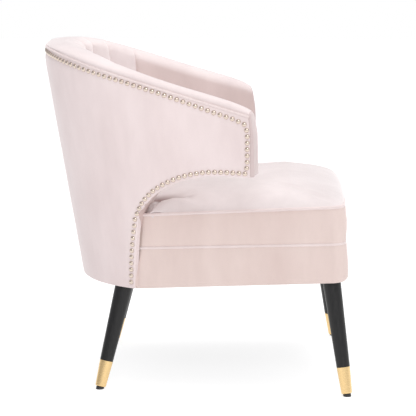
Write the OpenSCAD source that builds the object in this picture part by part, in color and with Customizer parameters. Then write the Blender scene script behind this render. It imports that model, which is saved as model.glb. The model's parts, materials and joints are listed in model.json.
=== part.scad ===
// Barrel-back accent armchair: tight crowned seat, cantilevered wing arms,
// nail-head trim and four splayed, tapered legs with metal ferrules.
// Millimetres. +Z up, the chair faces -Y, the sitter's left is +X.
// Origin: on the floor, at the centre of the chair's footprint box.
//
// The barrel wall is one ruled surface.  A point of it is wall(u, z, d):
//   u  runs round the U, -1 at the right arm's front, 0 at the rear centre,
//      +1 at the left arm's front;  z is the height;  d is the depth into the wall.

/* [Legs] */
// Diameter of a leg where it meets the seat base
leg_top_d = 41; // [38:0.5:44]
// Diameter of a leg at the ferrule's upper rim
leg_low_d = 30; // [28:0.5:31]
// Length of a ferrule along the leg
ferrule_len = 60; // [50:1:66]
// Diameter of a glide
glide_d = 18; // [16:0.5:20]

/* [Seat] */
// Width of the seat at its front edge
seat_front_w = 600; // [590:2:604]
// Width of the seat where the barrel wall meets it
seat_rear_w = 500; // [496:2:504]
// Height of the crown above the seat's top seam
seat_crown = 47; // [36:1:50]
// Plan radius of the seat's front corners
seat_corner_r = 28; // [22:1:32]

/* [Barrel wall] */
// Half width of the wall at the height of the crest
wall_half_top = 340; // [334:1:344]
// Half width of the wall at the height of the seat base
wall_half_base = 280; // [278:1:284]
// Wall thickness at the rear centre
wall_t_rear = 84; // [80:1:88]
// Wall thickness at the front of an arm
wall_t_arm = 58; // [55:1:62]
// Height of the padded roll above the seam under it
roll_h = 20; // [17:1:22]

/* [Trim] */
// Diameter of a nail head
nail_d = 10.5; // [9:0.5:11.5]
// Distance from one nail head to the next
nail_pitch = 14.2; // [13.4:0.2:17]
// Diameter of the seat's piping
piping_d = 6; // [5:0.5:7]

/* [Hidden] */
$fn = 48;

velvet = [0.86, 0.76, 0.745];
velvet_in = [0.82, 0.71, 0.695];
foam_c = [0.93, 0.9, 0.72];
ply = [0.78, 0.63, 0.43];
steel = [0.62, 0.63, 0.65];
gold = [0.85, 0.68, 0.4];
black = [0.06, 0.06, 0.065];

y0 = -25.2;        // moves the footprint box's centre onto the origin
ue = 0.62;       // u of that edge
z_e = 385;       // height where the wall starts to sweep forward into the arm
pitch_deg = 3;   // the whole seat leans back by this much

function mix(a, b, k) = a + (b - a) * k;
function clamp01(k) = max(0, min(1, k));
function hz(z) = (z - 240) / 520;

// plan of the wall's outer face at height z, as [forward, sideways]
function rear_f(z) = mix(-296.5, -382.5, hz(z)) + 8 * pow(clamp01((z - 722) / 38), 2);
function cen_f(z) = mix(-50, -60, hz(z));
function half_w(z) = mix(wall_half_base, wall_half_top, hz(z));
function pow_n(z) = mix(2.05, 2.3, hz(z));
function end_f(z) = mix(100.5, 95, clamp01((z - 590) / 50));
// forward position of the wall's free lower edge at height z
function fe(z) = -157.5 + 11.5 * clamp01((z - 240) / 145);
function edge_th(z) = acos(pow((cen_f(z) - fe(z)) / (cen_f(z) - rear_f(z)), pow_n(z) / 2));
function plan_rear(th, z) = [cen_f(z) - (cen_f(z) - rear_f(z)) * pow(max(cos(th), 0), 2 / pow_n(z)),
  sign(th) * half_w(z) * pow(abs(sin(th)), 2 / pow_n(z))];
function arm_w(f, z) = f < cen_f(z)
  ? half_w(z) * pow(1 - pow((cen_f(z) - f) / (cen_f(z) - rear_f(z)), pow_n(z)), 1 / pow_n(z))
  : half_w(z) + 0.0006 * pow(f - cen_f(z), 2);
function plan(u, z) = abs(u) <= ue ? plan_rear(u / ue * edge_th(z), z)
  : let (f = fe(z) + (abs(u) - ue) / (1 - ue) * (end_f(z) - fe(z))) [f, sign(u) * arm_w(f, z)];
function inward(u, z) = let (t = plan(u + 0.006, z) - plan(u - 0.006, z)) [t[1], -t[0]] / norm(t);
function wall(u, z, d) = let (p = plan(u, z) + inward(u, z) * d) [p[1], y0 - p[0], z];
// u of the point at forward position f
function u_of(f, z) = f >= fe(z) ? ue + (f - fe(z)) / (end_f(z) - fe(z)) * (1 - ue)
  : ue * acos(pow((cen_f(z) - f) / (cen_f(z) - rear_f(z)), pow_n(z) / 2)) / edge_th(z);

// heights
function base_z(f) = 234.5 + 0.0535 * max(0, f + 150);
function mid_z(f) = 330 + 0.037 * (f + 150);
function top_z(f) = 407.5 + 0.06 * (f + 150);
function line_z(f) = 659.2 - 0.305 * f;
function seam_f(f) = 0.5 * (771 + line_z(f) - sqrt(pow(771 - line_z(f), 2) + 144));
function low_f(f) = f >= 25 ? 498.5 - 0.00057 * pow(f - 25, 2) : 385 + 113.5 * pow(max(0, 1 - pow((25 - f) / 171, 1.85)), 0.45);
function seam_z(u) = seam_f(plan(u, 700)[0]);
function low_z(u) = abs(u) <= ue ? z_e : low_f(plan(u, 450)[0]);
function wbase_z(u) = base_z(plan(u, 240)[0]);
function crest_f(f) = let (l = line_z(f) + roll_h) 0.5 * (789 + l - sqrt(pow(789 - l, 2) + 700));
function crest_z(u) = crest_f(plan(u, 700)[0]) - (abs(u) < 0.9 ? 0 : 5 * pow((abs(u) - 0.9) / 0.1, 2));
function thick(u) = mix(wall_t_rear, wall_t_arm, clamp01((abs(u) - 0.35) / 0.6));

// closed solid between two grids of points, A outside and B inside; M(i, j) says which cells exist
function cells(A, M) = [for (i = [0:len(A) - 2]) for (j = [0:len(A[0]) - 2]) if (M[i][j]) [i, j]];
function has(M, i, j) = i >= 0 && j >= 0 && i < len(M) && j < len(M[0]) && M[i][j];
module slab(A, B, M = undef, flip = false) {
  ni = len(A); nj = len(A[0]); n = ni * nj;
  K = is_undef(M) ? [for (i = [0:ni - 2]) [for (j = [0:nj - 2]) true]] : M;
  tri = [for (c = cells(A, K)) let (i = c[0], j = c[1], a = i * nj + j, b = a + nj, c2 = b + 1, d = a + 1)
    each concat(
      [[a, b, c2], [a, c2, d], [a + n, c2 + n, b + n], [a + n, d + n, c2 + n]],
      has(K, i, j - 1) ? [] : [[a, a + n, b + n], [a, b + n, b]],
      has(K, i, j + 1) ? [] : [[d, c2 + n, d + n], [d, c2, c2 + n]],
      has(K, i - 1, j) ? [] : [[a, d, d + n], [a, d + n, a + n]],
      has(K, i + 1, j) ? [] : [[b, b + n, c2 + n], [b, c2 + n, c2]])];
  polyhedron(points = concat([for (r = A) each r], [for (r = B) each r]),
    faces = flip ? tri : [for (t = tri) [t[2], t[1], t[0]]], convexity = 8);
}
// round cord of radius r along points
module cord(P, r, sides = 8) {
  n = len(P);
  rings = [for (i = [0:n - 1]) let (t0 = P[min(i + 1, n - 1)] - P[max(i - 1, 0)], t = t0 / norm(t0),
    s0 = cross(t, [0, 0, 1]), s = s0 / norm(s0), b = cross(s, t))
    [for (k = [0:sides - 1]) P[i] + r * (cos(360 * k / sides) * s + sin(360 * k / sides) * b)]];
  faces = concat(
    [for (i = [0:n - 2]) for (k = [0:sides - 1]) let (a = i * sides + k, b = i * sides + (k + 1) % sides)
      each [[a, b, b + sides], [a, b + sides, a + sides]]],
    [[for (k = [sides - 1:-1:0]) k]], [[for (k = [0:sides - 1]) (n - 1) * sides + k]]);
  polyhedron(points = [for (R = rings) each R], faces = [for (f = faces) [for (i = [len(f) - 1:-1:0]) f[i]]], convexity = 8);
}

// ---- the seat base's own frame: it leans back by pitch_deg about the line where the wall's edge meets the base
module lean() { translate([0, y0 + 150, 234.5]) rotate([-pitch_deg, 0, 0]) translate([0, -150, 0]) children(); }
// a plan outline given as [sideways, forward] points, from height a to b above the base
module plank(pts, a, b) { lean() translate([0, 0, a]) linear_extrude(b - a) polygon([for (p = pts) [p[0], -p[1]]]); }
module level_plank(pts, a, b) { translate([0, y0, 234.5 + a]) linear_extrude(b - a) polygon([for (p = pts) [p[0], -p[1]]]); }
function mirrored(pts) = [for (p = pts) [-p[0], p[1]]];
function seat_hw(f) = mix(seat_rear_w / 2, seat_front_w / 2, (f + 152) / 459);

// seat outline, e inside the cover's outer face, from the right rear to the left rear, as [sideways, forward]
seat_cf = 307 - seat_corner_r;
function seat_half(e) = let (cw = seat_hw(seat_cf) - seat_corner_r, r = seat_corner_r - e) concat(
  [for (f = [-152, -90, -20, 50, 120, 190, 240]) [seat_hw(f) - e, f]],
  [for (a = [0:15:90]) [cw + r * cos(a), seat_cf + r * sin(a)]],
  [for (k = [0.8, 0.6, 0.4, 0.2]) [cw * k, 307 - e + 8 * (1 - k * k)]]);
function seat_path(e) = let (h = seat_half(e)) concat(mirrored(h), [[0, 315 - e]], [for (i = [len(h) - 1:-1:0]) h[i]]);
function at(p, z) = [p[0], y0 - p[1] - 0.045 * (top_z(p[1]) - z) * clamp01((p[1] + 152) / 400), z];

module front_seat_rail() color(ply) plank([[-268, 304], [268, 304], [268, 286.5], [-268, 286.5]], 3, 78);
function side_rail() = [[seat_hw(286) - 6, 286], [seat_hw(-150) - 6, -150], [seat_hw(-150) - 31, -150], [seat_hw(286) - 31, 286]];
module left_seat_rail() color(ply) plank(side_rail(), 3, 78);
module right_seat_rail() color(ply) plank(mirrored(side_rail()), 3, 78);
module rear_cross_rail() color(ply) plank([[-218.5, -149], [218.5, -149], [221, -124], [-221, -124]], 3, 78);

// the legs: top centre and foot centre as [sideways, forward]
front_top = [253, 281]; front_foot = [300, 317];
rear_top = [200, -186.5]; rear_foot = [245, -241.5];
function p3(p, z, s) = [s * p[0], y0 - p[1], z];
module on_leg(top, foot, s) {
  a = p3(foot, 0, s); b = p3(top, base_z(top[1]), s); v = b - a; l = norm(v);
  translate(a) rotate([0, acos(v[2] / l), atan2(v[1], v[0])]) rotate([0, 0, 25]) children();
}
function leg_len(top, foot) = norm(p3(top, base_z(top[1]), 1) - p3(foot, 0, 1));
module under_base() { lean() translate([-400, -500, 1.5]) cube([800, 640, 200]); translate([-400, y0 + 150, 236]) cube([800, 400, 200]); }
module leg(top, foot, s) color(black) {
  l = leg_len(top, foot); sh = ferrule_len + 6;
  difference() {
    on_leg(top, foot, s) rotate_extrude($fn = 64) polygon([[1.6, 8.4], [10.4, 8.4], [leg_low_d / 2 - 1.5, sh], [leg_low_d / 2, sh],
      [leg_top_d / 2 + 0.5, l + 14], [4.1, l + 14], [4.1, l - 38], [1.6, l - 38]]);
    under_base();
  }
}
module ferrule(top, foot, s) color(gold) on_leg(top, foot, s) rotate_extrude($fn = 64)
  polygon([[1.7, 6], [10.6, 6], [11.6, 6.6], [12.2, 8], [leg_low_d / 2 + 0.15, ferrule_len + 5.6], [leg_low_d / 2 - 1.2, ferrule_len + 5.6], [10.8, 8], [1.7, 8]]);
module glide(top, foot, s) color(black) difference() {
  on_leg(top, foot, s) rotate_extrude($fn = 48) polygon([[0, -5], [glide_d / 2, -5], [glide_d / 2, 5], [glide_d / 2 - 1, 6], [1.5, 6], [1.5, 26], [0, 27]]);
  translate([-400, -400, -20]) cube([800, 800, 20]);
}
module bore(top, foot, s, r) on_leg(top, foot, s) translate([0, 0, leg_len(top, foot) - 40]) cylinder(r = r, h = 110);
module bolt(top, foot, s) on_leg(top, foot, s) translate([0, 0, leg_len(top, foot) - 36]) cylinder(r = 4, h = 74);
module tee_nut(top, foot, s, up) on_leg(top, foot, s) translate([0, 0, leg_len(top, foot) + up]) difference() {
  cylinder(r = 9, h = 2); translate([0, 0, -1]) cylinder(r = 4.1, h = 6); }

block = [[265, 286], [140, 286], [140, 268], [236, 150], [251, 150]];
module corner_block(s) color(ply) difference() {
  plank(s > 0 ? block : mirrored(block), 3, 34);
  bore(front_top, front_foot, s, 4.1);
}
module barrel_base_plate() color(ply) difference() {
  intersection() {
    level_plank(concat([for (i = [0:24]) let (p = wall(mix(-ue, ue, i / 24), 243, 11)) [p[0], y0 - p[1]]],
      [for (i = [0:16]) let (p = wall(mix(ue, -ue, i / 16), 243, 78)) [p[0], y0 - p[1]]]), 3, 34);
    level_plank([[-300, -152], [300, -152], [300, -400], [-300, -400]], 2, 35);
  }
  for (s = [-1, 1]) bore(rear_top, rear_foot, s, 4.1);
}

// ---- barrel frame
urear = [for (i = [0:20]) mix(-ue, ue, i / 20)];
function arm_us(s, a, b, n) = [for (i = [0:n]) s * mix(a, b, i / n)];
// patch of wall over the columns us, between the heights lo(u), hi(u) and the depths d0, d1
module patch(us, LO, HI, d0, d1, rows = 1, flip = false)
  slab([for (i = [0:len(us) - 1]) [for (j = [0:rows]) wall(us[i], mix(LO[i], HI[i], j / rows), d0)]],
    [for (i = [0:len(us) - 1]) [for (j = [0:rows]) wall(us[i], mix(LO[i], HI[i], j / rows), d1)]], flip = flip);
function sorted_us(s, a, b, n) = s > 0 ? arm_us(1, a, b, n) : arm_us(-1, b, a, n);

module post_at(u, w) { us = [u - w, u, u + w];
  patch(us, [for (x = us) wbase_z(x) + 36], [for (x = us) seam_z(x) - 48], 9.6, 30, 1); }
module left_back_post() color(ply) post_at(0.572, 0.034);
module right_back_post() color(ply) post_at(-0.572, 0.034);
module back_slats() color(ply) for (u = [-0.42, -0.21, 0, 0.21, 0.42]) post_at(u, 0.03);
module top_back_rail() color(ply) patch(urear, [for (u = urear) seam_z(u) - 46], [for (u = urear) seam_z(u) - 5], 9, 31, 1);
module arm_top_rail(s) { us = sorted_us(s, ue + 0.002, 0.955, 6);
  color(ply) patch(us, [for (u = us) seam_z(u) - 46], [for (u = us) seam_z(u) - 5], 9, 31, 1); }
module arm_lower_rail(s) { us = sorted_us(s, ue + 0.03, 0.955, 8);
  color(ply) patch(us, [for (u = us) low_z(u) + 6], [for (u = us) low_z(u) + 34], 9, 31, 1); }
module arm_front_post(s) { us = sorted_us(s, 0.9, 0.955, 1);
  color(ply) patch(us, [for (u = us) low_z(u) + 35], [for (u = us) seam_z(u) - 47], 9, 31, 1); }
module back_webbing() color([0.25, 0.25, 0.26]) for (z = [455, 535, 615])
  patch([for (i = [0:20]) mix(-0.6, 0.6, i / 20)], [for (i = [0:20]) z], [for (i = [0:20]) z + 48], 31.8, 33.2, 1);

// ---- skins of the whole outside: lower rows exist only behind the free edge
ucols = concat(arm_us(-1, 1, ue + 0.0475, 7), urear, arm_us(1, ue + 0.0475, 1, 7));
function col_z(u, j, g) = j <= 2 ? mix(wbase_z(u) + g, low_z(u) + (abs(u) > ue ? g : 0), j / 2)
  : mix(low_z(u) + (abs(u) > ue ? g : 0), seam_z(u) - g, (j - 2) / 5);
function skin_grid(d, g, k) = [for (u = ucols) [for (j = [0:7]) wall(u * k, col_z(u * k, j, g), d)]];
skin_mask = [for (i = [0:len(ucols) - 2]) [for (j = [0:6]) j >= 2 || (abs(ucols[i]) <= ue && abs(ucols[i + 1]) <= ue)]];
module outer_cover() color(velvet) slab(skin_grid(0, 0, 1), skin_grid(2.5, 0, 1), skin_mask);
module outer_back_board() color([0.62, 0.5, 0.36]) slab(skin_grid(3.2, 3, 0.985), skin_grid(6.2, 3, 0.985), skin_mask);

// ---- padding of the inside: frame-side contour and sitter-side contour of one section
function inner_low(u) = abs(u) <= ue ? mix(356, 442, clamp01((abs(u) - 0.5) / 0.11)) : max(low_z(u) + 3, 442);
function fside(u) = let (zs = seam_z(u), zl = inner_low(u)) [[34, zl], [34, mix(zl, zs - 20, 0.5)], [34, zs - 20], [34, zs - 3], [22, zs - 3], [10, zs - 3], [3, zs - 1]];
function sside(u, e) = let (zc = crest_z(u), zl = inner_low(u), t = thick(u) - 3, zs = seam_z(u))
  [[t + e, zl], [t + e, mix(zl, zc - 30, 0.5)], [t + e, zc - 30], [t - 7 + 0.7 * e, zc - 11 + 0.7 * e], [0.66 * t, zc - 1.8 + e], [0.3 * t, zc - 1.2 + e], [2.4 - 0.8 * e, zs + 8 + 0.5 * e]];
module padding(us) slab([for (u = us) [for (q = fside(u)) wall(u, q[1], q[0])]], [for (u = us) [for (q = sside(u, 0)) wall(u, q[1], q[0])]]);
module facing(us) slab([for (u = us) [for (q = sside(u, 0.4)) wall(u, q[1], q[0])]], [for (u = us) [for (q = sside(u, 2.4)) wall(u, q[1], q[0])]]);
module back_foam() color(foam_c) padding(urear);
module arm_foam(s) color(foam_c) padding(sorted_us(s, ue + 0.002, 0.96, 8));
module inside_back_cover() color(velvet_in) facing(urear);
module inside_arm_cover(s) color(velvet_in) facing(sorted_us(s, ue + 0.002, 1, 9));
// rounded front of an arm: it bulges past the end of the outer face
function bulge(k) = 6.5 * sin(180 * k);
module arm_front(s, e0, e1, from, rows = 8) {
  ds = [for (k = [0:6]) k / 6];
  front = function(e, q) let (u = 1 + (bulge(q) + e) / 253 * (1 - ue)) u;
  zl = low_z(1) + 3 - e1 * 0; zc = crest_z(1) - 3;
  A = [for (q = ds) [for (j = [0:rows]) wall(s * (is_undef(from) ? front(e0, q) : from), mix(zl, zc - 8 * pow(2 * q - 1, 2), j / rows), mix(2.7, thick(1) - 3.2, q))]];
  B = [for (q = ds) [for (j = [0:rows]) wall(s * front(e1, q), mix(zl, zc - 8 * pow(2 * q - 1, 2), j / rows), mix(2.7, thick(1) - 3.2, q))]];
  slab(A, B, flip = s < 0);
}
module arm_front_pad(s) color(foam_c) arm_front(s, 0, 0, 0.962, 4);
module arm_front_cover(s) color(velvet) arm_front(s, 0.5, 2.5);

module arm_underside_cover(s) { us = sorted_us(s, ue + 0.02, 1, 12); n = len(us) - 1;
  color(velvet) slab([for (u = us) [for (j = [0:3]) wall(u, low_z(u) + 0.4, mix(2.8, thick(u) - 0.6, j / 3))]],
    [for (u = us) [for (j = [0:3]) wall(u, low_z(u) + 2.4, mix(2.8, thick(u) - 0.6, j / 3))]], flip = true);
}
module roll_piping() color(velvet) cord([for (i = [0:60]) let (u = mix(-0.995, 0.995, i / 60)) wall(u, seam_z(u) + 2.6, 0.4)], 2.4, 8);

// ---- seat
module seat_band(lo, hi) slab([for (p = seat_path(0)) [at(p, lo(p[1])), at(p, mix(lo(p[1]), hi(p[1]), 0.5)), at(p, hi(p[1]))]],
  [for (p = seat_path(2.5)) [at(p, lo(p[1])), at(p, mix(lo(p[1]), hi(p[1]), 0.5)), at(p, hi(p[1]))]]);
module seat_upper_band() color(velvet) seat_band(function(f) mid_z(f) + 1.8, function(f) top_z(f) - 1.8);
module seat_lower_band() color(velvet) seat_band(function(f) base_z(f), function(f) mid_z(f) - 1.8);
module seat_cord(z) cord([for (p = seat_path(1.2)) at(p, z(p[1]))], piping_d / 2, 8);
module seat_top_piping() color(velvet) seat_cord(function(f) top_z(f));
module seat_middle_piping() color(velvet) cord([for (p = seat_path(3)) at(p, mid_z(p[1]))], piping_d / 2 - 0.6, 8);

foam_fs = [-228, -222, -208, -188, -166, -150, -141, -100, -50, 0, 60, 120, 180, 230, 262, 279, 290, 297, 301];
foam_r = seat_corner_r - 5;
function foam_hw(f) = f < -143 ? 211.5 * sqrt(max(0.01, 1 - pow((f + 50) / 186, 2)))
  : f < seat_cf ? seat_hw(f) - 5 : seat_hw(seat_cf) - seat_corner_r + sqrt(max(16, foam_r * foam_r - pow(f - seat_cf, 2)));
function crown(f, w) = seat_crown * (1 - pow(abs(w), 3.2)) * pow(clamp01((303 - f) / 130), 0.45) * mix(0.72, 1, clamp01((f + 238) / 120));
foam_ws = [-1, -0.94, -0.8, -0.6, -0.3, 0, 0.3, 0.6, 0.8, 0.94, 1];
function foam_top(g) = [for (f = foam_fs) [for (k = foam_ws) [k * foam_hw(f), y0 - f, top_z(f) - 3 + g + crown(f, k)]]];
module seat_foam() color(foam_c) slab(foam_top(0), [for (f = foam_fs) [for (k = foam_ws) [k * foam_hw(f), y0 - f, base_z(f) + 104]]], flip = true);
module seat_top_cover() color(velvet) slab(foam_top(2.4), foam_top(0.4), flip = true);
module seat_insulator_pad() color([0.35, 0.34, 0.33]) plank([[-236, 284], [236, 284], [232, -140], [-232, -140]], 100, 103);

spring_x = [-170, -85, 0, 85, 170];
function zig(x) = [for (i = [0:56]) let (k = i / 56, f = mix(-130, 282, k)) at([x + 24 * (i == 0 || i == 56 ? 0 : cos(i * 45 + 90)), f], base_z(f) + 84 + 9 * sin(180 * k))];
module seat_springs() color(steel) for (x = spring_x) cord(zig(x), 1.8, 6);
module spring_clips() color(steel) for (x = spring_x) for (f = [-136, 289]) lean() translate([x - 10, -f - 8, 78.3]) difference() {
  cube([20, 16, 9]); translate([-1, f > 0 ? -2 : 4, 2.2]) translate([0, f > 0 ? 3 : 0, 0]) cube([22, 14, 7]); }
module spring_tie_wires() color(steel) for (f = [20, 150]) cord([for (i = [0:16]) let (x = mix(-225, 225, i / 16)) at([x, f], base_z(f) + 95.5)], 1.3, 6);

module dust_cover() color([0.12, 0.12, 0.125]) difference() {
  union() {
    plank([[-243, -150.5], [243, -150.5], [286, 272], [262, 304], [-262, 304], [-286, 272]], 1.5, 2.6);
    intersection() {
      level_plank([for (i = [0:20]) let (p = wall(mix(-ue, ue, i / 20), 240, 5)) [p[0], y0 - p[1]]], 1.5, 2.6);
      level_plank([[-300, -149.5], [300, -149.5], [300, -400], [-300, -400]], 1, 3);
    }
  }
  for (s = [-1, 1]) { on_leg(front_top, front_foot, s) translate([0, 0, 200]) cylinder(r = 5, h = 100);
    on_leg(rear_top, rear_foot, s) translate([0, 0, 190]) cylinder(r = 5, h = 100); }
}

// ---- nail heads: one half's path as [forward, height], then spaced evenly along its length
function off(u) = let (f = plan(u, 690)[0]) mix(8.5, 11, clamp01(abs(u) / 0.3)) - 2.5 * clamp01((f + 260) / 90) + 6.5 * clamp01((f + 100) / 140);
ntop = [for (i = [0:60]) let (u = mix(0, 0.94, i / 60)) [u, seam_z(u) - off(u)]];
nfront = [for (q = [[84, 615], [89, 604]]) [u_of(q[0], q[1]), q[1]]];
ndown = [for (z = [594:-12:516]) [u_of(91, z), z]];
function low_n(f) = let (m = (low_f(f + 0.5) - low_f(f - 0.5)), n = [-m, 1] / norm([-m, 1])) [f, low_f(f)] + (8.5 + 1.2 * sin(180 * clamp01((30 - f) / 170))) * n;
narc = [for (f = [86, 78, 65, 50, 35, 20, 5, -10, -25, -40, -55, -70, -85, -100, -112, -122, -130, -136, -140, -142.5]) let (q = low_n(f)) [u_of(q[0], q[1]), q[1]]];
nlow = [for (i = [0:13]) let (z = 400 - 12.23 * i) [u_of(fe(z) - 11.5 - 3.5 * sin(180 * clamp01((400 - z) / 155)), z), z]];
nuz = concat(ntop, nfront, ndown, narc, nlow);
npts = [for (q = nuz) wall(q[0], q[1], 0)];
turn = len(ntop) + len(nfront) + len(ndown);
// the heads sit a little closer along the arch and a little further apart below it
function ease(i) = i < turn - 1 ? 1 : i < turn - 1 + len(narc) ? 1.06 : 0.94;
nlen = [for (i = 0, s = 0; i < len(npts); s = s + (i + 1 < len(npts) ? ease(i) * norm(npts[i + 1] - npts[i]) : 0), i = i + 1) s];
ncount = floor((nlen[len(nlen) - 1] - nail_pitch / 2) / nail_pitch);
tu = [for (i = [0:len(nuz) - 1]) [nlen[i], nuz[i][0]]];
tz = [for (i = [0:len(nuz) - 1]) [nlen[i], nuz[i][1]]];
module nail(sgn, k) {
  s = nail_pitch / 2 + k * nail_pitch; u = sgn * lookup(s, tu); z = lookup(s, tz);
  n = inward(u, z);
  translate(wall(u, z, -0.15)) rotate([0, 90, atan2(n[0], -n[1])]) rotate_extrude($fn = 24)
    polygon([[0, 0], [nail_d / 2, 0], [nail_d / 2 - 0.15, 0.9], [nail_d * 0.4, 2], [nail_d * 0.24, 2.75], [0, 3.1]]);
}
module nail_half(sgn) color(gold) for (g = [0:8:ncount]) union() for (k = [g:min(g + 7, ncount)]) nail(sgn, k);

front_seat_rail();
left_seat_rail();
right_seat_rail();
rear_cross_rail();
barrel_base_plate();
corner_block(1);  // front_left_corner_block
corner_block(-1);  // front_right_corner_block
left_back_post();
right_back_post();
back_slats();
top_back_rail();
arm_top_rail(1);  // left_arm_top_rail
arm_top_rail(-1);  // right_arm_top_rail
arm_lower_rail(1);  // left_arm_lower_rail
arm_lower_rail(-1);  // right_arm_lower_rail
arm_front_post(1);  // left_arm_front_post
arm_front_post(-1);  // right_arm_front_post
seat_springs();
spring_clips();
spring_tie_wires();
seat_insulator_pad();
seat_foam();
seat_top_cover();
seat_upper_band();
seat_lower_band();
seat_top_piping();
seat_middle_piping();
back_webbing();
outer_back_board();
outer_cover();
back_foam();
arm_foam(1);  // left_arm_foam
arm_foam(-1);  // right_arm_foam
arm_front_pad(1);  // left_arm_front_pad
arm_front_pad(-1);  // right_arm_front_pad
inside_back_cover();
inside_arm_cover(1);  // left_inside_arm_cover
inside_arm_cover(-1);  // right_inside_arm_cover
arm_front_cover(1);  // left_arm_front_cover
arm_front_cover(-1);  // right_arm_front_cover
arm_underside_cover(1);  // left_arm_underside_cover
arm_underside_cover(-1);  // right_arm_underside_cover
roll_piping();
nail_half(1);  // left_nail_trim
nail_half(-1);  // right_nail_trim
dust_cover();
leg(front_top, front_foot, 1);  // front_left_leg
leg(front_top, front_foot, -1);  // front_right_leg
leg(rear_top, rear_foot, 1);  // rear_left_leg
leg(rear_top, rear_foot, -1);  // rear_right_leg
ferrule(front_top, front_foot, 1);  // front_left_ferrule
ferrule(front_top, front_foot, -1);  // front_right_ferrule
ferrule(rear_top, rear_foot, 1);  // rear_left_ferrule
ferrule(rear_top, rear_foot, -1);  // rear_right_ferrule
glide(front_top, front_foot, 1);  // front_left_glide
glide(front_top, front_foot, -1);  // front_right_glide
glide(rear_top, rear_foot, 1);  // rear_left_glide
glide(rear_top, rear_foot, -1);  // rear_right_glide
color(steel) for (s = [-1, 1]) { bolt(front_top, front_foot, s); bolt(rear_top, rear_foot, s); }  // leg_bolts
color(steel) for (s = [-1, 1]) { tee_nut(front_top, front_foot, s, 40); tee_nut(rear_top, rear_foot, s, 41); }  // leg_tee_nuts
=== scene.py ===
import bpy, bmesh, json
import numpy as np
from math import *
from mathutils import Vector, Matrix, noise
from mathutils.kdtree import KDTree


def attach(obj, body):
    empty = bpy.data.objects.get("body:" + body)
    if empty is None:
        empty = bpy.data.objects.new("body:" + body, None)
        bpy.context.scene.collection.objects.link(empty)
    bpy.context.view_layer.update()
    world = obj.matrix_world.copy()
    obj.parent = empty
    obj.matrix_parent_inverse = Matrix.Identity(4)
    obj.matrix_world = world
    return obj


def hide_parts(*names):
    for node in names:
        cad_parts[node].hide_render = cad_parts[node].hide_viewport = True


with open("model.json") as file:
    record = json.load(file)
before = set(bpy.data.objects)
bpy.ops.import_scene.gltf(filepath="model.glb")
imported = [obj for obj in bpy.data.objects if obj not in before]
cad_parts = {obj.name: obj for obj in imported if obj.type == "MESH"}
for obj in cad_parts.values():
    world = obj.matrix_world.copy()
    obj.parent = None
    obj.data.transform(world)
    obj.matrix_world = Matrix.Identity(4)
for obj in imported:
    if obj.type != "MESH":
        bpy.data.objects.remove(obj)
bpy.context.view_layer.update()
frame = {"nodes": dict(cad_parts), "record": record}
rng = np.random.RandomState(7)

# ------------------------------------------------------------------ the chair's own geometry, in mm, as the frame has it
def mix(a, b, k): return a + (b - a) * k
def c01(k): return max(0.0, min(1.0, k))
def smooth(k): k = c01(k); return k * k * (3 - 2 * k)
Y0 = -25.2
UE = 0.62
def fe(z): return -157.5 + 11.5 * c01((z - 240) / 145)
def hz(z): return (z - 240) / 520
def rear_f(z): return mix(-296.5, -382.5, hz(z)) + 8 * c01((z - 722) / 38) ** 2
def cen_f(z): return mix(-50, -60, hz(z))
def half_w(z): return mix(280, 340, hz(z))
def pow_n(z): return mix(2.05, 2.3, hz(z))
def end_f(z): return mix(100.5, 95, c01((z - 590) / 50))
def edge_th(z): return acos(((cen_f(z) - fe(z)) / (cen_f(z) - rear_f(z))) ** (pow_n(z) / 2))
def arm_w(f, z):
    c = cen_f(z)
    if f < c:
        return half_w(z) * (1 - ((c - f) / (c - rear_f(z))) ** pow_n(z)) ** (1 / pow_n(z))
    return half_w(z) + 0.0006 * (f - c) ** 2
def plan(u, z):
    if abs(u) <= UE:
        th = u / UE * edge_th(z); n = pow_n(z)
        return (cen_f(z) - (cen_f(z) - rear_f(z)) * max(cos(th), 0) ** (2 / n), copysign(1, th) * half_w(z) * abs(sin(th)) ** (2 / n))
    f = fe(z) + (abs(u) - UE) / (1 - UE) * (end_f(z) - fe(z))
    return (f, copysign(1, u) * arm_w(f, z))
def inward(u, z):
    a = plan(u + 0.006, z); b = plan(u - 0.006, z)
    t = (a[0] - b[0], a[1] - b[1]); l = hypot(*t)
    return (t[1] / l, -t[0] / l)
def wall(u, z, d=0.0):
    p = plan(u, z); n = inward(u, z)
    return (p[1] + n[1] * d, Y0 - (p[0] + n[0] * d), z)
def u_of(f, z):
    if f >= fe(z): return UE + (f - fe(z)) / (end_f(z) - fe(z)) * (1 - UE)
    return UE * acos(((cen_f(z) - f) / (cen_f(z) - rear_f(z))) ** (pow_n(z) / 2)) / edge_th(z)
def base_z(f): return 234.5 + 0.0535 * max(0, f + 150)
def mid_z(f): return 325.8 + 0.0415 * (f + 150)
def top_z(f): return 400.7 + 0.06 * (f + 150)
def line_z(f): return 659.2 - 0.305 * f
def seam_f(f): return 0.5 * (771 + line_z(f) - sqrt((771 - line_z(f)) ** 2 + 144))
def crest_f(f): l = line_z(f) + 20; return 0.5 * (789 + l - sqrt((789 - l) ** 2 + 700))
def low_f(f): return 498.5 - 0.00057 * (f - 25) ** 2 if f >= 25 else 385 + 113.5 * max(0, 1 - ((25 - f) / 171) ** 1.85) ** 0.45
def seam_z(u): return seam_f(plan(u, 700)[0])
def low_z(u): return 385.0 if abs(u) <= UE else low_f(plan(u, 450)[0])
def thick(u): return mix(84, 58, c01((abs(u) - 0.35) / 0.6))
def front_drop(u):                     # the crest rounds down over the front of an arm
    x = c01((abs(u) - 0.90) / 0.10)
    return 9.5 * (1 - sqrt(max(0, 1 - x * x)))
def crest_z(u): return crest_f(plan(u, 700)[0]) - front_drop(u)
def seat_hw(f): return mix(250, 300, (f + 152) / 459)
SCF = 307 - 28.0
def at(p, z): return (p[0], Y0 - p[1] - 0.045 * (top_z(p[1]) - z) * c01((p[1] + 152) / 400), z)

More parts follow.
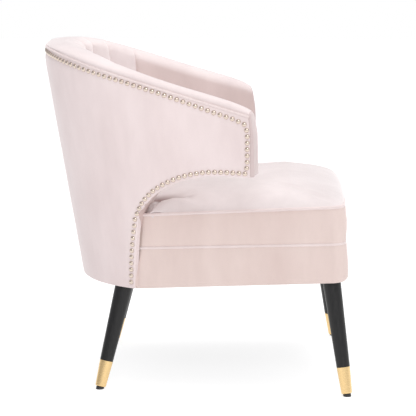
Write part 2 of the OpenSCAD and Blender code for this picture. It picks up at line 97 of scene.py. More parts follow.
# ------------------------------------------------------------------ mesh helpers
def coll_obj(name, me):
    ob = bpy.data.objects.new(name, me)
    bpy.context.scene.collection.objects.link(ob)
    return ob
def from_bm(name, bm, mat=None, smooth_on=True):
    me = bpy.data.meshes.new(name)
    bm.to_mesh(me); bm.free()
    if smooth_on:
        me.polygons.foreach_set("use_smooth", [True] * len(me.polygons))
    if mat: me.materials.append(mat)
    me.update()
    return coll_obj(name, me)
def bm_grid(bm, pts, mask=None, flip=False, wrap=False):
    """pts[i][j] in mm -> quads; returns the vertex grid."""
    V = [[bm.verts.new((p[0] / 1000, p[1] / 1000, p[2] / 1000)) for p in row] for row in pts]
    n, m = len(V), len(V[0])
    for i in range(n if wrap else n - 1):
        for j in range(m - 1):
            if mask is not None and not mask(i, j): continue
            a, b, c, d = V[i][j], V[(i + 1) % n][j], V[(i + 1) % n][j + 1], V[i][j + 1]
            bm.faces.new((a, d, c, b) if flip else (a, b, c, d))
    return V
def curl(bm, r, depth, steps=3, keep=None, dsteps=2):
    """Rolls every open edge inward by a quarter turn of radius r, then on by depth. Metres."""
    bm.normal_update()
    T, edges = {}, []
    for e in bm.edges:
        if not e.is_boundary: continue
        if keep is not None and not keep(e): continue
        edges.append(e)
        l = e.link_loops[0]; f = l.face
        a, b = l.vert, l.link_loop_next.vert
        t = (b.co - a.co).normalized().cross(f.normal)
        for v in (a, b): T.setdefault(v, Vector()); T[v] += t
    N = {v: -v.normal.copy() for v in T}
    for v in T: T[v].normalize()
    rings = [{v: v for v in T}]
    base = {v: v.co.copy() for v in T}
    offs = [(r * sin(radians(90 * k / steps)), r * (1 - cos(radians(90 * k / steps)))) for k in range(1, steps + 1)]
    offs += [(r, r + depth * (k + 1) / dsteps) for k in range(dsteps)]
    pairs = [(e.link_loops[0].vert, e.link_loops[0].link_loop_next.vert) for e in edges]
    for o in offs:
        rings.append({v: bm.verts.new(base[v] + T[v] * o[0] + N[v] * o[1]) for v in T})
    for k in range(len(rings) - 1):
        A, B = rings[k], rings[k + 1]
        for a, b in pairs:
            bm.faces.new((B[a], B[b], A[b], A[a]) if False else (A[b], A[a], B[a], B[b]))
def outward(bm, centre=None, axis=None):
    """Only updates the normals; it turns no faces."""
    bm.normal_update()
def tube(name, pts, r, mat, sides=12, closed=False, caps=True):
    pts = [Vector(p) for p in pts]
    n = len(pts); bm = bmesh.new(); rings = []
    for i in range(n):
        a = pts[(i - 1) % n] if (closed or i > 0) else pts[i]
        b = pts[(i + 1) % n] if (closed or i < n - 1) else pts[i]
        t = (b - a).normalized(); s = t.cross(Vector((0, 0, 1)))
        if s.length < 1e-4: s = Vector((1, 0, 0))
        s.normalize(); w = s.cross(t).normalized()
        rr = r(i) if callable(r) else r
        rings.append([bm.verts.new(pts[i] + rr * (cos(2 * pi * k / sides) * s + sin(2 * pi * k / sides) * w)) for k in range(sides)])
    for i in range(n if closed else n - 1):
        A, B = rings[i], rings[(i + 1) % n]
        for k in range(sides):
            bm.faces.new((A[k], A[(k + 1) % sides], B[(k + 1) % sides], B[k]))
    if caps and not closed:
        bm.faces.new(list(reversed(rings[0]))); bm.faces.new(rings[-1])
    bmesh.ops.recalc_face_normals(bm, faces=bm.faces)
    return from_bm(name, bm, mat)
def resample(pts, step):
    P = np.array(pts, float)
    s = np.concatenate([[0], np.cumsum(np.linalg.norm(np.diff(P, axis=0), axis=1))])
    n = max(2, int(round(s[-1] / step)) + 1)
    q = np.linspace(0, s[-1], n)
    return np.stack([np.interp(q, s, P[:, k]) for k in range(P.shape[1])], 1)
def fbm(p, scale, seed=0.0):
    v = Vector((p[0] / scale + seed * 17.3, p[1] / scale - seed * 5.1, p[2] / scale + seed * 2.7))
    return noise.noise(v)

# ------------------------------------------------------------------ materials
def new_mat(name):
    m = bpy.data.materials.new(name); m.use_nodes = True
    nt = m.node_tree; nt.nodes.clear()
    out = nt.nodes.new("ShaderNodeOutputMaterial"); b = nt.nodes.new("ShaderNodeBsdfPrincipled")
    nt.links.new(b.outputs[0], out.inputs[0])
    return m, nt, b
def N(nt, kind, **kw):
    n = nt.nodes.new(kind)
    for k, v in kw.items():
        if k in n.inputs.keys() if hasattr(n, "inputs") else False: n.inputs[k].default_value = v
        else: setattr(n, k, v)
    return n
def ramp(nt, src, stops):
    r = nt.nodes.new("ShaderNodeValToRGB"); e = r.color_ramp.elements
    while len(e) < len(stops): e.new(0.5)
    for el, (p, c) in zip(e, stops): el.position = p; el.color = (*c, 1)
    nt.links.new(src, r.inputs[0]); return r.outputs[0]
def mixc(nt, fac, a, b, blend="MIX"):
    m = nt.nodes.new("ShaderNodeMix"); m.data_type = "RGBA"; m.blend_type = blend
    if isinstance(fac, float): m.inputs[0].default_value = fac
    else: nt.links.new(fac, m.inputs[0])
    for s, v in ((6, a), (7, b)):
        if isinstance(v, tuple): m.inputs[s].default_value = (*v, 1)
        else: nt.links.new(v, m.inputs[s])
    return m.outputs[2]
def math_n(nt, op, a, b=None):
    m = nt.nodes.new("ShaderNodeMath"); m.operation = op
    for i, v in enumerate((a, b)):
        if v is None: continue
        if isinstance(v, (int, float)): m.inputs[i].default_value = v
        else: nt.links.new(v, m.inputs[i])
    return m.outputs[0]

def velvet(name, deep, light, sheen=0.55, mott=1.0, top=None):
    """Short-pile velvet: brushed patches where the pile lies another way, a fine pile, and a soft white sheen; where
    top is given, a painted highlight mixes lighter colours in by a vertex attribute.
    """
    m, nt, b = new_mat(name)
    tc = nt.nodes.new("ShaderNodeTexCoord"); obj = tc.outputs["Object"]
    mp = nt.nodes.new("ShaderNodeMapping"); mp.inputs["Scale"].default_value = (1.0, 1.0, 0.45); nt.links.new(obj, mp.inputs[0])
    big = N(nt, "ShaderNodeTexNoise"); big.inputs["Scale"].default_value = 9.0; big.inputs["Detail"].default_value = 3.0; big.inputs["Roughness"].default_value = 0.5
    nt.links.new(mp.outputs[0], big.inputs["Vector"])
    mp2 = nt.nodes.new("ShaderNodeMapping"); mp2.inputs["Scale"].default_value = (1.0, 1.0, 0.3); mp2.inputs["Rotation"].default_value = (0.35, 0.2, 0.1); nt.links.new(obj, mp2.inputs[0])
    mid = N(nt, "ShaderNodeTexNoise"); mid.inputs["Scale"].default_value = 42.0; mid.inputs["Detail"].default_value = 4.0; mid.inputs["Roughness"].default_value = 0.6
    nt.links.new(mp2.outputs[0], mid.inputs["Vector"])
    fine = N(nt, "ShaderNodeTexNoise"); fine.inputs["Scale"].default_value = 1500.0; fine.inputs["Detail"].default_value = 2.0
    nt.links.new(obj, fine.inputs["Vector"])
    patch = ramp(nt, big.outputs["Fac"], [(0.34, (0, 0, 0)), (0.66, (1, 1, 1))])
    streak = ramp(nt, mid.outputs["Fac"], [(0.36, (0, 0, 0)), (0.64, (1, 1, 1))])
    c = mixc(nt, patch, deep, light)
    # painted highlight: where top is given, a vertex weight mixes in the lighter top colours, lightening the roll where
    # the light falls on it
    if top:
        at_ = nt.nodes.new("ShaderNodeAttribute"); at_.attribute_name = "painted_roll_highlight"
        c = mixc(nt, at_.outputs["Fac"], c, mixc(nt, patch, top[0], top[1]))
    c = mixc(nt, 0.10 * mott, c, mixc(nt, streak, tuple(v * 0.86 for v in deep), tuple(min(1, v * 1.06) for v in light)))
    speck = ramp(nt, fine.outputs["Fac"], [(0.3, (0.93, 0.93, 0.93)), (0.7, (1, 1, 1))])
    c = mixc(nt, 1.0, c, speck, "MULTIPLY")
    nt.links.new(c, b.inputs["Base Color"])
    rr = ramp(nt, mid.outputs["Fac"], [(0.3, (0.78, 0.78, 0.78)), (0.7, (0.9, 0.9, 0.9))])
    nt.links.new(rr, b.inputs["Roughness"])
    b.inputs["Specular IOR Level"].default_value = 0.22
    b.inputs["Sheen Weight"].default_value = sheen
    b.inputs["Sheen Roughness"].default_value = 0.38
    b.inputs["Sheen Tint"].default_value = (1.0, 0.965, 0.96, 1)
    h = math_n(nt, "ADD", math_n(nt, "MULTIPLY", fine.outputs["Fac"], 0.00012), math_n(nt, "MULTIPLY", mid.outputs["Fac"], 0.0005))
    bump = nt.nodes.new("ShaderNodeBump"); bump.inputs["Strength"].default_value = 0.6; bump.inputs["Distance"].default_value = 1.0
    nt.links.new(h, bump.inputs["Height"]); nt.links.new(bump.outputs[0], b.inputs["Normal"])
    return m

# painted highlight: lighter colours for the top of the roll, where it catches the light
ROLL_PAINTED_HIGHLIGHT_COLOURS = ((0.70, 0.605, 0.60), (0.76, 0.668, 0.66))
# painted light and shade: the one blush velvet is given in lit and shaded copies, with the outer shell and the
# channelled back lighter where the light falls on them, and the inside arms, the arm fronts and the arm undersides
# darker as painted shade
VELVET = velvet("velvet_blush_outer_painted_light", (0.72, 0.61, 0.603), (0.785, 0.678, 0.672), sheen=0.6)
VELVET_IN = velvet("velvet_blush_inner_painted_shade", (0.58, 0.465, 0.445), (0.64, 0.52, 0.50), sheen=0.8, top=ROLL_PAINTED_HIGHLIGHT_COLOURS)
VELVET_BACK = velvet("velvet_blush_channels_painted_light", (0.66, 0.565, 0.56), (0.72, 0.625, 0.62), sheen=0.8, top=ROLL_PAINTED_HIGHLIGHT_COLOURS)
VELVET_SEAT = velvet("velvet_blush_seat", (0.66, 0.59, 0.585), (0.73, 0.66, 0.655), sheen=1.0)
VELVET_BAND = velvet("velvet_blush_band", (0.655, 0.525, 0.49), (0.715, 0.59, 0.552), sheen=0.4)
VELVET_PIPE = velvet("velvet_blush_piping", (0.70, 0.59, 0.575), (0.76, 0.655, 0.64), sheen=0.6, mott=0.6)
VELVET_EDGE = velvet("velvet_blush_edge_painted_shade", (0.56, 0.42, 0.395), (0.62, 0.48, 0.455), sheen=0.3)
VELVET_FRONT = velvet("velvet_blush_front_painted_shade", (0.575, 0.47, 0.46), (0.635, 0.525, 0.515), sheen=0.4)

def metal(name, col, rough, streak_axis="z", streak=0.10, scale=60.0):
    m, nt, b = new_mat(name)
    tc = nt.nodes.new("ShaderNodeTexCoord"); mp = nt.nodes.new("ShaderNodeMapping")
    mp.inputs["Scale"].default_value = {"z": (1, 1, 14), "x": (14, 1, 1), "n": (1, 1, 1)}[streak_axis]
    nt.links.new(tc.outputs["Object"], mp.inputs[0])
    n = N(nt, "ShaderNodeTexNoise"); n.inputs["Scale"].default_value = scale; n.inputs["Detail"].default_value = 5.0
    nt.links.new(mp.outputs[0], n.inputs["Vector"])
    big = N(nt, "ShaderNodeTexNoise"); big.inputs["Scale"].default_value = 18.0; nt.links.new(tc.outputs["Object"], big.inputs["Vector"])
    c = mixc(nt, n.outputs["Fac"], tuple(v * (1 - streak) for v in col), tuple(min(1, v * (1 + streak * 0.5)) for v in col))
    nt.links.new(c, b.inputs["Base Color"])
    b.inputs["Metallic"].default_value = 1.0
    r = ramp(nt, n.outputs["Fac"], [(0.2, (rough - 0.05,) * 3), (0.8, (rough + 0.08,) * 3)])
    nt.links.new(r, b.inputs["Roughness"])
    h = math_n(nt, "ADD", math_n(nt, "MULTIPLY", n.outputs["Fac"], 0.00005), math_n(nt, "MULTIPLY", big.outputs["Fac"], 0.0001))
    bump = nt.nodes.new("ShaderNodeBump"); bump.inputs["Strength"].default_value = 0.35; bump.inputs["Distance"].default_value = 1.0
    nt.links.new(h, bump.inputs["Height"]); nt.links.new(bump.outputs[0], b.inputs["Normal"])
    return m
GOLD = metal("ferrule_brushed_gold", (0.86, 0.62, 0.31), 0.27)
NAIL = metal("nail_champagne_gold", (0.66, 0.56, 0.48), 0.2, "n", 0.06, 200.0)
STEEL = metal("wire_steel", (0.56, 0.56, 0.57), 0.32, "x")

def lacquer():
    m, nt, b = new_mat("leg_satin_black")
    tc = nt.nodes.new("ShaderNodeTexCoord"); mp = nt.nodes.new("ShaderNodeMapping"); mp.inputs["Scale"].default_value = (26, 26, 1.6)
    nt.links.new(tc.outputs["Object"], mp.inputs[0])
    g = N(nt, "ShaderNodeTexNoise"); g.inputs["Scale"].default_value = 14.0; g.inputs["Detail"].default_value = 6.0; nt.links.new(mp.outputs[0], g.inputs["Vector"])
    c = ramp(nt, g.outputs["Fac"], [(0.35, (0.006, 0.006, 0.0062)), (0.65, (0.012, 0.0115, 0.0118))])
    nt.links.new(c, b.inputs["Base Color"])
    r = ramp(nt, g.outputs["Fac"], [(0.3, (0.3,) * 3), (0.7, (0.4,) * 3)]); nt.links.new(r, b.inputs["Roughness"])
    b.inputs["Specular IOR Level"].default_value = 0.38
    b.inputs["Coat Weight"].default_value = 0.0
    bump = nt.nodes.new("ShaderNodeBump"); bump.inputs["Strength"].default_value = 0.25; bump.inputs["Distance"].default_value = 1.0
    nt.links.new(math_n(nt, "MULTIPLY", g.outputs["Fac"], 0.00018), bump.inputs["Height"]); nt.links.new(bump.outputs[0], b.inputs["Normal"])
    return m
LACQ = lacquer()
def wood(name, dark, light):
    m, nt, b = new_mat(name)
    tc = nt.nodes.new("ShaderNodeTexCoord"); mp = nt.nodes.new("ShaderNodeMapping"); mp.inputs["Scale"].default_value = (3, 30, 30)
    nt.links.new(tc.outputs["Object"], mp.inputs[0])
    g = N(nt, "ShaderNodeTexNoise"); g.inputs["Scale"].default_value = 5.0; g.inputs["Detail"].default_value = 8.0; g.inputs["Distortion"].default_value = 0.6; nt.links.new(mp.outputs[0], g.inputs["Vector"])
    c = ramp(nt, g.outputs["Fac"], [(0.3, dark), (0.7, light)]); nt.links.new(c, b.inputs["Base Color"])
    b.inputs["Roughness"].default_value = 0.7
    bump = nt.nodes.new("ShaderNodeBump"); bump.inputs["Strength"].default_value = 0.4; bump.inputs["Distance"].default_value = 1.0
    nt.links.new(math_n(nt, "MULTIPLY", g.outputs["Fac"], 0.0004), bump.inputs["Height"]); nt.links.new(bump.outputs[0], b.inputs["Normal"])
    return m
PLY = wood("birch_plywood", (0.5, 0.34, 0.18), (0.7, 0.53, 0.33))
BOARD = wood("bent_hardboard", (0.22, 0.13, 0.07), (0.32, 0.2, 0.12))
def woven(name, dark, light, sc, rough=0.85):
    m, nt, b = new_mat(name)
    tc = nt.nodes.new("ShaderNodeTexCoord")
    w1 = N(nt, "ShaderNodeTexWave"); w1.wave_type = "BANDS"; w1.bands_direction = "X"; w1.inputs["Scale"].default_value = sc; w1.inputs["Distortion"].default_value = 0.4
    w2 = N(nt, "ShaderNodeTexWave"); w2.wave_type = "BANDS"; w2.bands_direction = "Y"; w2.inputs["Scale"].default_value = sc; w2.inputs["Distortion"].default_value = 0.4
    nz = N(nt, "ShaderNodeTexNoise"); nz.inputs["Scale"].default_value = 220.0; nz.inputs["Detail"].default_value = 4.0
    for w in (w1, w2, nz): nt.links.new(tc.outputs["Object"], w.inputs["Vector"])
    k = math_n(nt, "MULTIPLY", math_n(nt, "ADD", w1.outputs["Fac"], w2.outputs["Fac"]), 0.5)
    k2 = math_n(nt, "ADD", math_n(nt, "MULTIPLY", k, 0.6), math_n(nt, "MULTIPLY", nz.outputs["Fac"], 0.4))
    c = ramp(nt, k2, [(0.25, dark), (0.75, light)]); nt.links.new(c, b.inputs["Base Color"])
    b.inputs["Roughness"].default_value = rough
    bump = nt.nodes.new("ShaderNodeBump"); bump.inputs["Strength"].default_value = 0.5; bump.inputs["Distance"].default_value = 1.0
    nt.links.new(math_n(nt, "MULTIPLY", k2, 0.0004), bump.inputs["Height"]); nt.links.new(bump.outputs[0], b.inputs["Normal"])
    return m
DUST = woven("dust_cloth_black", (0.012, 0.012, 0.013), (0.035, 0.035, 0.037), 160)
FELT = woven("insulator_felt", (0.1, 0.1, 0.1), (0.3, 0.29, 0.28), 90)
WEB = woven("elastic_webbing", (0.05, 0.05, 0.055), (0.16, 0.16, 0.17), 120)
FOAM = woven("cream_foam", (0.72, 0.66, 0.44), (0.88, 0.83, 0.62), 200)
def plastic():
    m, nt, b = new_mat("glide_black_nylon")
    tc = nt.nodes.new("ShaderNodeTexCoord"); nz = N(nt, "ShaderNodeTexNoise"); nz.inputs["Scale"].default_value = 700.0; nt.links.new(tc.outputs["Object"], nz.inputs["Vector"])
    c = ramp(nt, nz.outputs["Fac"], [(0.3, (0.016,) * 3), (0.7, (0.028,) * 3)]); nt.links.new(c, b.inputs["Base Color"])
    b.inputs["Roughness"].default_value = 0.55
    bump = nt.nodes.new("ShaderNodeBump"); bump.inputs["Strength"].default_value = 0.3; bump.inputs["Distance"].default_value = 1.0
    nt.links.new(math_n(nt, "MULTIPLY", nz.outputs["Fac"], 0.0001), bump.inputs["Height"]); nt.links.new(bump.outputs[0], b.inputs["Normal"])
    return m
GLIDE = plastic()

# ------------------------------------------------------------------ nail positions: the CAD's own, one per separate dome
def nail_points(node):
    ob = frame["nodes"][node]; me = ob.data
    bm = bmesh.new(); bm.from_mesh(me); bmesh.ops.remove_doubles(bm, verts=bm.verts, dist=1e-6)
    seen, out = set(), []
    for v in bm.verts:
        if v in seen: continue
        st, comp = [v], []
        seen.add(v)
        while st:
            q = st.pop(); comp.append(q)
            for e in q.link_edges:
                w = e.other_vert(q)
                if w not in seen: seen.add(w); st.append(w)
        lo = Vector((min(q.co[i] for q in comp) for i in range(3))); hi = Vector((max(q.co[i] for q in comp) for i in range(3)))
        P = np.array([q.co for q in comp]); c = P.mean(0)
        w_, vec = np.linalg.eigh(np.cov((P - c).T))
        out.append((c, vec[:, 0], P))
    bm.free(); return out

# ------------------------------------------------------------------ outside velvet of the barrel
def dist_list(a, b, fine_a, fine_b, step, fstep, zone):
    """Values from a to b, fstep apart within zone of the ends that ask for it, step apart elsewhere."""
    out = [a]; x = a
    while x < b - 1e-6:
        near = (fine_a and x - a < zone) or (fine_b and b - x < zone)
        x = min(b, x + (fstep if near else step)); out.append(x)
    if len(out) > 2 and out[-1] - out[-2] < 0.5 * fstep: out.pop(-2)
    return out
s_u = np.linspace(-1, 1, 801); s_p = np.array([wall(u, 520) for u in s_u])
s_l = np.concatenate([[0], np.cumsum(np.linalg.norm(np.diff(s_p, axis=0), axis=1))])
def u_at(s): return float(np.interp(s, s_l, s_u))
def l_at(u): return float(np.interp(u, s_u, s_l))
def outer_columns():
    L0, L1, L2, L3 = l_at(-0.9915), l_at(-UE), l_at(UE), l_at(0.9915)
    a = dist_list(L0, L1, True, True, 4.5, 2.6, 26); b = dist_list(L1, L2, True, True, 4.5, 2.6, 26); c = dist_list(L2, L3, True, True, 4.5, 2.6, 26)
    ua = [u_at(x) for x in a]; ub = [u_at(x) for x in b]; uc = [u_at(x) for x in c]
    ua[-1] = ub[0] = -UE; ub[-1] = uc[0] = UE
    return ua[:-1] + ub + uc[1:], len(ua) - 1, len(ua) - 1 + len(ub) - 1
R_E = 2.2
def back_mm(z): return float(np.interp(z, (233, 240, 277, 313, 334, 358, 383, 405, 420, 440, 460), (4.5, 5, 7.5, 8, 8.5, 8.5, 7, 6, 4.5, 2, 0)))
def u_step(z):
    h = 0.01; return h / max(1.0, wall(UE - h, z)[1] - wall(UE, z)[1])
def u_back(u, z):
    w = smooth((abs(u) - UE + 0.06) / 0.06)
    return u - (1 if u > 0 else -1) * back_mm(z) * u_step(z) * w
def z_rows(lo, hi, nlo, nmid, nhi, zone=26.0):
    z = [lo + zone * k / nlo for k in range(nlo)] + [mix(lo + zone, hi - zone, k / nmid) for k in range(nmid)] + [hi - zone + zone * k / nhi for k in range(nhi + 1)]
    return z
cols, iL, iR = outer_columns()
nail_all = []
for nd in ("left_nail_trim", "right_nail_trim"): nail_all += nail_points(nd)
kd = KDTree(len(nail_all))
for i, q in enumerate(nail_all): kd.insert(Vector(q[0]), i)
kd.balance()
def dress(p, n, amp=1.0):
    """Presses the cloth in round each nail and lets it swell a little between them. p in mm, n the outward normal."""
    co, i, dist = kd.find(Vector((p[0] / 1000, p[1] / 1000, p[2] / 1000)))
    d = dist * 1000
    off = -1.5 * exp(-(d / 6.6) ** 2) + 0.35 * exp(-((d - 15) / 6.5) ** 2)
    off += amp * (0.55 * fbm(p, 95, 1) + 0.22 * fbm(p, 34, 2))
    return (p[0] + n[0] * off, p[1] + n[1] * off, p[2])
bm = bmesh.new()
up = []
for u in cols:
    zl = low_z(u) + (R_E if abs(u) > UE else 0); zh = seam_z(u) - 4.0
    n = inward(u, 520); nn = (-n[1], n[0])
    up.append([dress(wall(u_back(u, z), z), nn) for z in z_rows(zl, zh, 9, 26, 10)])
V1 = bm_grid(bm, up)
low = []
for i in range(iL, iR + 1):
    u = cols[i]; n = inward(u, 300); nn = (-n[1], n[0])
    edge = smooth((abs(u) - UE + 0.06) / 0.06)
    low.append([dress(wall(u_back(u, z), z), nn) for z in z_rows(233.0 + R_E, 385.0, 8, 20, 2, 14.0)])
V2 = bm_grid(bm, low)
for k, i in enumerate(range(iL, iR + 1)):     # sew the two parts along their shared line
    pass
bmesh.ops.weld_verts(bm, targetmap={V2[k][-1]: V1[iL + k][0] for k in range(len(low))})
# bring the free vertical edges in by the roll's radius
bm.normal_update()
side = 1 if sum(f.normal.dot(f.calc_center_median() - Vector((0, Y0 / 1000 + 0.05, 0.5))) for f in bm.faces) > 0 else -1
if side < 0: bmesh.ops.reverse_faces(bm, faces=bm.faces)
curl(bm, R_E / 1000, 0.012)
outer = from_bm("outer_velvet_shell", bm, VELVET)
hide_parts("outer_cover", "outer_back_board")

# ------------------------------------------------------------------ strip that closes the wing arms underneath and the wall's front edge
def under_strip(s, name):
    path = [(UE, z) for z in np.linspace(236, 384, 30)] + [(u_of(f, low_f(f)), low_f(f)) for f in
            list(np.linspace(-145.9, -128, 10)) + list(np.linspace(-124, 97, 48))]
    rows = []
    for (u, z) in path:
        D = thick(u) - 2.5
        row = []
        for k in range(17):
            q = k / 16; d = 1.6 + (D - 1.6) * q
            ub = u_back(u, z); p = np.array(wall(s * ub, z, d))
            if z < 384.5 and u <= UE + 1e-6:
                o_ = wall(s * ub, z, 1.6); k_ = smooth((384.5 - z) / 40)
                p = p * (1 - k_) + np.array((o_[0] - s * (d - 1.6), o_[1] + 1.0 - 0.03 * (d - 1.6), z)) * k_
            lift = 1.9 - 1.7 * sin(pi * min(1, q * 1.02)) ** 0.7
            rnd = 11 * max(0, (q - 0.8) / 0.2) ** 2
            row.append((p[0], p[1], p[2] + lift + rnd + 0.25 * fbm(p, 30, 4)) if u > UE + 1e-6 else
                       (p[0], p[1] + (lift + rnd), p[2]))
        rows.append(row)
    bm = bmesh.new(); bm_grid(bm, rows, flip=(s < 0))
    bm.normal_update()
    if sum(f.normal.z for f in bm.faces if f.calc_center_median().z > 0.45) > 0: bmesh.ops.reverse_faces(bm, faces=bm.faces)
    return from_bm(name, bm, VELVET_EDGE)
us_l = under_strip(1, "left_arm_underside_velvet"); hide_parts("left_arm_underside_cover")
us_r = under_strip(-1, "right_arm_underside_velvet"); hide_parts("right_arm_underside_cover")

# ------------------------------------------------------------------ inside back with sewn channels, and plain inside arms
UB = 0.508                                    # seam between the channelled back and the plain arms
SEAMS = [0.050, 0.172, 0.328, UB]
DRIFT = [0.012, 0.03, 0.03, 0.008]
def seam_u(k, drop): return SEAMS[k] + DRIFT[k] * smooth(drop / 170)
def inner_profile(u, nface=64):
    """Section of the inside from its foot, up over the crest and down to the outside seam, as (d, z, how far the channels show)."""
    t = thick(u); zc = crest_z(u); zs = seam_z(u); zl = low_z(u) + (2.0 if abs(u) > UE else 0)
    h1 = 30 if abs(u) < 0.9 else mix(30, 22, (abs(u) - 0.9) / 0.1)
    hh = zc - zs
    out = []
    z_top = zc - h1
    for k in range(nface):
        z = mix(zl, z_top, k / nface); q = (z - zl) / max(1, z_top - zl)
        puff = 5.5 * sin(pi * c01(q)) ** 0.8 * (0.35 + 0.65 * c01((z_top - zl) / 250))
        foot = 7.0 * (1 - smooth(q / 0.10)) if abs(u) > UE else 0
        out.append((t + puff - foot, z, 1.0))
    dc = 0.45 * t
    for k in range(20):
        a = radians(90 * k / 20)
        out.append((dc + (t - dc) * cos(a) ** 0.92, z_top + h1 * sin(a) ** 0.92, smooth((88 - 90 * k / 20) / 60)))
    for k in range(17):
        b = radians(90 * k / 16)
        k_ = cos(b) ** 0.72
        out.append((dc - (dc - 1.2) * sin(b) ** 0.8, zs + 2.2 + (hh - 2.2) * k_, 0.0))
    return out
def channel_depth(u, drop, show):
    a = abs(u)
    edges = [-seam_u(0, drop)] + [seam_u(k, drop) for k in range(4)]
    if a >= edges[-1]:
        g = (a - edges[-1]) * 560
        return show * (-4.0 * exp(-(g / 5.0) ** 1.3))
    for k in range(4):
        lo, hi = edges[k], edges[k + 1]
        if lo <= a < hi:
            w = (hi - lo) * 560; x = (a - lo) / (hi - lo)
            e = min(x, 1 - x) * w
            pillow = 1 - abs(2 * x - 1) ** 2.6
            return show * (8.0 * pillow - 3.4 - 1.6 * exp(-(e / 2.4) ** 1.5))
    return 0.0
def inner_columns():
    """Denser beside each seam."""
    us = set()
    L = [l_at(0.0), l_at(0.9975)]
    x = L[0]
    marks = [l_at(v) for v in SEAMS]
    while x < L[1]:
        us.add(round(u_at(x), 5))
        near = min(abs(x - m_) for m_ in marks)
        x += 2.2 if near < 9 else 4.2
    us.add(0.9975)
    us = sorted(us)
    return [-v for v in reversed(us) if v > 0] + us
def inner_piece(name, test, mat):
    rows = []
    cu = [u for u in ICOLS if test(u)]
    for u in cu:
        zc = crest_z(u); prof = inner_profile(u); row = []
        for (d, z, show) in prof:
            drop = zc - z
            dd = d + channel_depth(u, drop, show)
            zz = z
            # puckers along the seams
            a = abs(u); near = min(abs(a - seam_u(k, drop)) * 560 for k in range(4))
            if show > 0.05 and a < 0.56:
                dd += show * 0.55 * exp(-(near / 13) ** 2) * sin(z * 0.42 + 5 * fbm((u * 900, z, 0), 60, 3))
            p = wall(u, zz, dd)
            n = inward(u, z)
            o = 0.6 * fbm(p, 80, 5) + 0.25 * fbm(p, 28, 6)
            row.append((p[0] + n[1] * o, p[1] - n[0] * o, p[2] + (0.35 * fbm(p, 60, 8) if show < 0.3 else 0)))
        rows.append(row)
    bm = bmesh.new(); bm_grid(bm, rows)
    bm.normal_update()
    tot = sum(f.normal.dot(Vector((0, Y0 / 1000 + 0.05, 0.62)) - f.calc_center_median()) * f.calc_area() for f in bm.faces if f.calc_center_median().z < 0.62)
    if tot < 0: bmesh.ops.reverse_faces(bm, faces=bm.faces)
    curl(bm, 0.0016, 0.007, steps=3, dsteps=1)
    ob = from_bm(name, bm, mat)
    # painted highlight: the weight rises to 1 over the last 30 mm below the crest, so the roll's top takes the lighter
    # colours
    at_ = ob.data.attributes.new("painted_roll_highlight", "FLOAT", "POINT"); vals = []
    for v in ob.data.vertices:
        x, f, z = v.co.x * 1000, Y0 - v.co.y * 1000, v.co.z * 1000
        zc = crest_f(f) if f > -330 else 776.0
        vals.append(smooth((z - (zc - 30)) / 24))
    at_.data.foreach_set("value", vals)
    return ob
ICOLS = inner_columns()
back_in = inner_piece("inside_back_channelled", lambda u: abs(u) <= UB + 0.003, VELVET_BACK)
arm_l = inner_piece("inside_arm_left", lambda u: u >= UB, VELVET_IN)
arm_r = inner_piece("inside_arm_right", lambda u: u <= -UB, VELVET_IN)
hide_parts("inside_back_cover", "back_foam"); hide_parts("left_inside_arm_cover", "left_arm_foam"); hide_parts("right_inside_arm_cover", "right_arm_foam")

